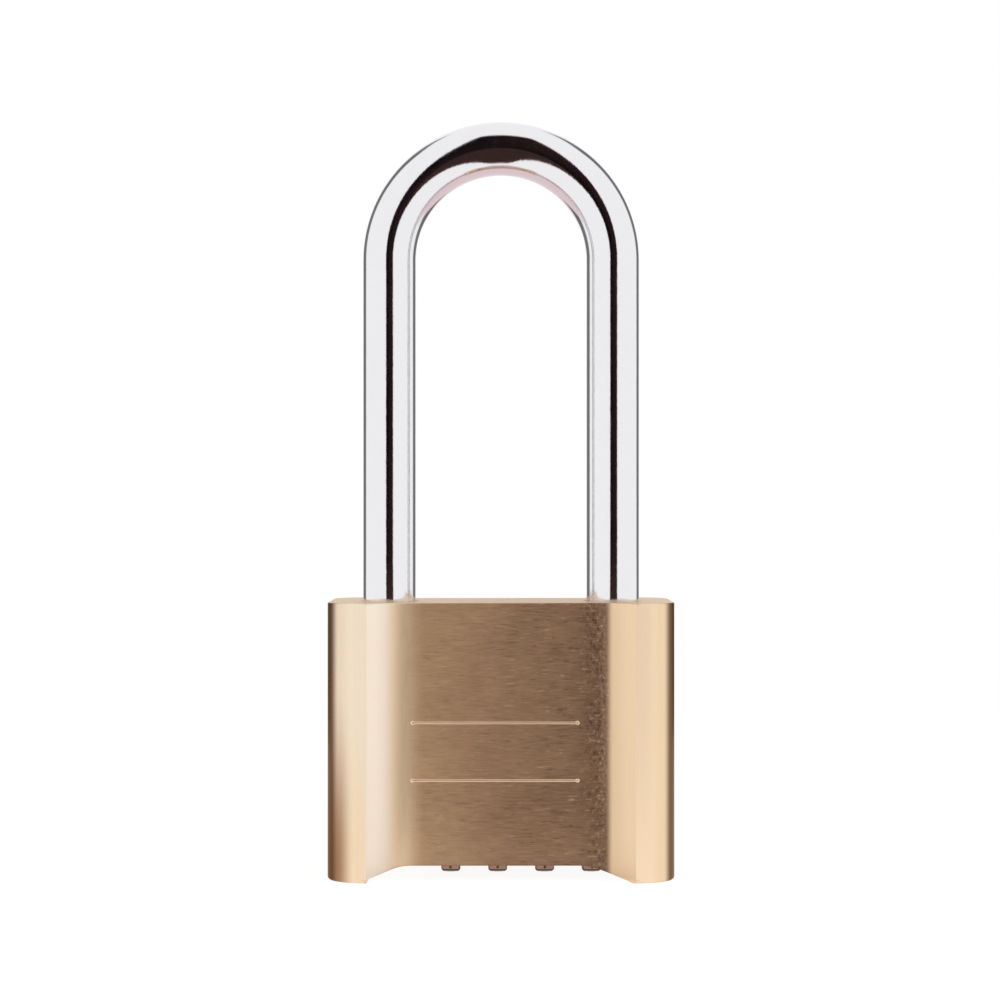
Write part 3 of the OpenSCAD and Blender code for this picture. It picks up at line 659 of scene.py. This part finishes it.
for number, x0 in enumerate(DIAL_X, 1):
    wheel = merged_copy(f"dial_wheel_{number}", f"dial_{number}_tumbled")
    round_edges(wheel, DIAL_BREAK, sharp=30, segments=2)
    wheel.data.materials.append(dial_brass)
    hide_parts(f"dial_wheel_{number}")
    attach(wheel, f"dial_{number}")
    spots, faces, first = [], [], 0
    for value in range(10):
        placed, corners = digit_round_dial(value, x0)
        spots.append(placed)
        faces.append(corners + first)
        first += len(placed)
    make_piece(f"dial_{number}_digits", np.concatenate(spots), np.concatenate(faces),
               digit_black, f"dial_{number}")

# --- Plug and pins -------------------------------------------------------------------------
# A turned brass plug closes the bore on the heel side, with the fine rings of a facing cut. Two
# ground steel pins are pressed in: one holds the lever, the other stops the shackle.
FACING_PITCH = 0.16
PLUG_FACE_X, PLUG_BREAK, PIN_BREAK = -25.3, 0.3, 0.22

plug_brass, tree, shader = metal("faced_plug_brass", (0.74, 0.56, 0.36, 1.0), 0.3, 0.15)
wobble = times(tree, grain(tree, (1.2, 1.2, 1.2)), 5.0)
swing = times(tree, from_axle(tree), 2 * math.pi / (FACING_PITCH * MM))
rings = sums(tree, "SINE", sums(tree, "ADD", swing, wobble))
rings = between(tree, rings, -1.0, 1.0, smooth=False)
tone = blend(tree, rings, (0.66, 0.49, 0.31, 1.0), (0.80, 0.62, 0.41, 1.0))
join(tree, tone, shader.inputs["Base Color"])
satin = between(tree, rings, 0.0, 1.0, 0.22, 0.36, smooth=False)
join(tree, satin, shader.inputs["Roughness"])
relief(tree, shader, rings, 0.01, 0.5)
plug = merged_copy("end_plug", "bore_plug")
round_edges(plug, PLUG_BREAK, lambda middles: (middles[:, 0] < PLUG_FACE_X).astype(float), 30)
plug.data.materials.append(plug_brass)
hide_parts("end_plug")
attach(plug, "case_body")

pin_steel, tree, shader = metal("ground_pin_steel", (0.60, 0.59, 0.575, 1.0), 0.26)
varied(tree, shader, grain(tree, (0.5, 0.5, 0.5), 4.0, 0.6), (0.20, 0.36), 0.01, 0.35,
       ((0.50, 0.49, 0.475, 1.0), (0.68, 0.67, 0.655, 1.0)))
for node, name in (("lever_pivot_pin", "lever_pin"), ("heel_stop_pin", "shackle_stop_pin")):
    pin = merged_copy(node, name)
    round_edges(pin, PIN_BREAK, sharp=30)
    pin.data.materials.append(pin_steel)
    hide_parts(node)
    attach(pin, "case_body")

# --- Works inside the case ------------------------------------------------------------------
# The lock's own works stay as the solids have them: a brass bush, springs and a snap ring of
# blued spring steel, a hardened spindle and lever, and sleeves, cam and pusher in zinc plate.
bush_brass, tree, shader = metal("turned_bush_brass", (0.70, 0.52, 0.32, 1.0), 0.34)
varied(tree, shader, grain(tree, (0.12, 2.0, 2.0), 3.0, 0.6), (0.26, 0.44), 0.01, 0.5,
       ((0.58, 0.42, 0.25, 1.0), (0.80, 0.61, 0.38, 1.0)))

spring_steel, tree, shader = metal("blued_spring_steel", (0.30, 0.31, 0.35, 1.0), 0.28)
varied(tree, shader, grain(tree, (1.5, 1.5, 1.5), 4.0, 0.6), (0.20, 0.38), 0.006, 0.4,
       ((0.20, 0.22, 0.29, 1.0), (0.44, 0.41, 0.39, 1.0)))

hardened_steel, tree, shader = metal("hardened_steel", (0.42, 0.40, 0.385, 1.0), 0.36)
scale = grain(tree, (0.8, 0.8, 0.8), 5.0, 0.65)
smut = between(tree, grain(tree, (3.0, 3.0, 3.0), 3.0, 0.6), 0.45, 0.7, 0.0, 0.6)
tone = blend(tree, scale, (0.32, 0.305, 0.30, 1.0), (0.52, 0.50, 0.48, 1.0))
join(tree, blend(tree, smut, tone, (0.25, 0.22, 0.20, 1.0)), shader.inputs["Base Color"])
varied(tree, shader, scale, (0.28, 0.46), 0.012, 0.5)

plated_steel, tree, shader = metal("zinc_plated_steel", (0.68, 0.68, 0.66, 1.0), 0.3)
varied(tree, shader, grain(tree, (1.1, 1.1, 1.1), 4.0, 0.6), (0.22, 0.40), 0.008, 0.4,
       ((0.60, 0.62, 0.64, 1.0), (0.76, 0.73, 0.64, 1.0)))

WORKS = {
    "stack_bush": bush_brass, "click_spring": spring_steel, "spindle_spring": spring_steel,
    "wave_washer": spring_steel, "cam_retaining_ring": spring_steel,
    "locking_spindle": hardened_steel, "locking_lever": hardened_steel,
    "change_cam": plated_steel, "change_pusher": plated_steel,
    "code_sleeve_1": plated_steel, "code_sleeve_2": plated_steel,
    "code_sleeve_3": plated_steel, "code_sleeve_4": plated_steel,
}
for node, finish in WORKS.items():
    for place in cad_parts[node].material_slots:
        place.material = finish

# --- Floor, lamps and camera ----------------------------------------------------------------
# The padlock stands on a plain white floor in a white studio, under two wide soft lamps. Only
# its polished parts mirror the dark fields: a narrow panel in front, which runs on over the
# floor, and two paler fans far behind at the sides. Between the feet, a pinkish painted shadow
# and painted reflection of the lock lies on the floor, seen only in the polished parts.
FLOOR_REACH = 1.6
CLEAN_WHITE = (1.0, 1.0, 1.0, 1.0)
FRONT_TURN, FRONT_INNER, FRONT_OUTER = math.radians(2.8), math.radians(13), math.radians(17)
FAN_STARTS = (math.radians(118), math.radians(127))
FAN_ENDS = (math.radians(150), math.radians(159))
FAN_DARK, PANEL_DARK = 0.82, 0.983
# Where the fields begin and fade on the floor, in millimetres from the middle of the lock.
PANEL_Y, FANS_OUT, FEET_X, FEET_Y = (25, 60), (200, 280), (13, 22), (10, 22)


def front_panel(tree, x, y):
    """The angle between a direction and a line 2.8 degrees off straight ahead, and a share that
    is 1 up to 13 degrees each side of that line and 0 from 17 degrees on."""
    turn = sums(tree, "ARCTAN2", x, times(tree, y, -1.0))
    turn = sums(tree, "ABSOLUTE", sums(tree, "SUBTRACT", turn, FRONT_TURN))
    return turn, between(tree, turn, FRONT_INNER, FRONT_OUTER, 1.0, 0.0)


def side_fans(tree, turn):
    """1 in the two fans that lie behind the lock, 127 to 150 degrees round to its left and its
    right, and 0 from 9 degrees further out."""
    return times(tree, between(tree, turn, FAN_STARTS[0], FAN_STARTS[1]),
                 between(tree, turn, FAN_ENDS[0], FAN_ENDS[1], 1.0, 0.0))


corners = FLOOR_REACH * np.array([(-1, -1, 0), (1, -1, 0), (1, 1, 0), (-1, 1, 0)])
mesh = bpy.data.meshes.new("studio_floor")
mesh.from_pydata(corners.tolist(), [], [(0, 1, 2, 3)])
floor = bpy.data.objects.new("studio_floor", mesh)
bpy.context.scene.collection.objects.link(floor)
floor_white = bpy.data.materials.new("floor_white")
floor_white.use_nodes = True
tree = floor_white.node_tree
shader = tree.nodes["Principled BSDF"]
shader.inputs["Base Color"].default_value = grey(0.86)
shader.inputs["Roughness"].default_value = 0.9
shader.inputs["Specular IOR Level"].default_value = 0.0
path = tree.nodes.new("ShaderNodeLightPath").outputs
x, y, z = here(tree)
turn, panel = front_panel(tree, x, y)
before_lock = along(tree, times(tree, y, -1.0), *PANEL_Y)
# A painted shadow under the lock, between the feet, seen only in reflections.
painted_shadow_under_lock = times(tree, along(tree, sums(tree, "ABSOLUTE", x), *FEET_X, 0.3, 0.0),
                     along(tree, sums(tree, "ABSOLUTE", y), *FEET_Y, 1.0, 0.0))
not_seen = sums(tree, "SUBTRACT", 1.0, path["Is Camera Ray"])
dark = times(tree, sums(tree, "MAXIMUM", times(tree, panel, before_lock), painted_shadow_under_lock), not_seen)
far_dark = times(tree, along(tree, distance(tree, x, y), *FANS_OUT), side_fans(tree, turn),
                 FAN_DARK, not_seen)
card = tree.nodes.new("ShaderNodeValToRGB")
card.color_ramp.elements[0].color = CLEAN_WHITE
card.color_ramp.elements[1].color = (0.04, 0.022, 0.02, 1.0)
# The pinkish shade at 0.3 is the painted shadow and painted reflection between the feet.
for at, shade in ((0.3, (0.62, 0.50, 0.45, 1.0)), (0.7, (0.13, 0.07, 0.07, 1.0))):
    card.color_ramp.elements.new(at).color = shade
join(tree, dark, card.inputs[0])
glow = tree.nodes.new("ShaderNodeEmission")
join(tree, card.outputs[0], glow.inputs["Color"])
white = sums(tree, "ADD", 1.0, times(tree, path["Is Camera Ray"], 0.07))
join(tree, sums(tree, "SUBTRACT", white, far_dark), glow.inputs["Strength"])
seen = sums(tree, "MAXIMUM", times(tree, path["Is Camera Ray"], 0.86),
            sums(tree, "MAXIMUM", path["Is Glossy Ray"], path["Is Transmission Ray"]))
white_floor = tree.nodes.new("ShaderNodeMixShader")
join(tree, seen, white_floor.inputs[0])
join(tree, shader.outputs[0], white_floor.inputs[1])
join(tree, glow.outputs[0], white_floor.inputs[2])
one_sided = tree.nodes.new("ShaderNodeMixShader")
join(tree, tree.nodes.new("ShaderNodeNewGeometry").outputs["Backfacing"], one_sided.inputs[0])
join(tree, white_floor.outputs[0], one_sided.inputs[1])
join(tree, tree.nodes.new("ShaderNodeBsdfTransparent").outputs[0], one_sided.inputs[2])
join(tree, one_sided.outputs[0], tree.nodes["Material Output"].inputs["Surface"])
mesh.materials.append(floor_white)

world = bpy.data.worlds.new("studio")
bpy.context.scene.world = world
world.use_nodes = True
tree = world.node_tree
backdrop = tree.nodes["Background"]
path = tree.nodes.new("ShaderNodeLightPath").outputs
way = tree.nodes.new("ShaderNodeSeparateXYZ")
join(tree, tree.nodes.new("ShaderNodeTexCoord").outputs["Generated"], way.inputs[0])
turn, panel = front_panel(tree, way.outputs[0], way.outputs[1])
low_enough = between(tree, way.outputs[2], 0.75, 0.85, 1.0, 0.0)
panel = times(tree, panel, low_enough)
dark = sums(tree, "MAXIMUM", times(tree, panel, PANEL_DARK),
            times(tree, side_fans(tree, turn), low_enough, FAN_DARK))
mirrored = times(tree, path["Is Glossy Ray"], sums(tree, "SUBTRACT", 1.0, dark))
seen = sums(tree, "ADD", path["Is Camera Ray"], mirrored, clamp=True)
seen_or_mirrored = sums(tree, "MAXIMUM", path["Is Camera Ray"], path["Is Glossy Ray"])
matt = times(tree, sums(tree, "SUBTRACT", 1.0, seen_or_mirrored), 0.7)
join(tree, sums(tree, "ADD", seen, matt), backdrop.inputs["Strength"])
panel_brown = blend(tree, between(tree, way.outputs[0], -0.1, 0.1),
                    (0.3, 0.2, 0.25, 1.0), (1.0, 0.5, 0.45, 1.0))
panel_seen = times(tree, panel, path["Is Glossy Ray"])
join(tree, blend(tree, panel_seen, CLEAN_WHITE, panel_brown), backdrop.inputs["Color"])


def lamp(name, place, aim, size, power):
    """A soft lamp of the given width and height, at a place in metres, turned to its aim."""
    light = bpy.data.lights.new(name, "AREA")
    light.shape = "RECTANGLE"
    light.size, light.size_y = size
    light.energy = power
    stand = bpy.data.objects.new(name, light)
    bpy.context.scene.collection.objects.link(stand)
    stand.location = place
    stand.rotation_euler = (Vector(aim) - Vector(place)).to_track_quat("-Z", "Y").to_euler()
    stand.visible_glossy = False


lamp("right_lamp", (0.55, -0.35, 0.45), (0, 0, 0.05), (0.45, 0.6), 2.2)
lamp("left_lamp", (-0.6, -0.25, 0.3), (0, 0, 0.05), (0.4, 0.6), 1.4)

camera = bpy.data.cameras.new("camera")
camera.lens = 90.3
camera.sensor_width = 36.0
camera.shift_x = -0.001
camera.shift_y = 0.004
stand = bpy.data.objects.new("camera", camera)
bpy.context.scene.collection.objects.link(stand)
stand.location = (0.0, -0.375, 0.0549)
stand.rotation_euler = (math.radians(90), 0, 0)
bpy.context.scene.camera = stand
bpy.context.scene.view_settings.view_transform = "Standard"
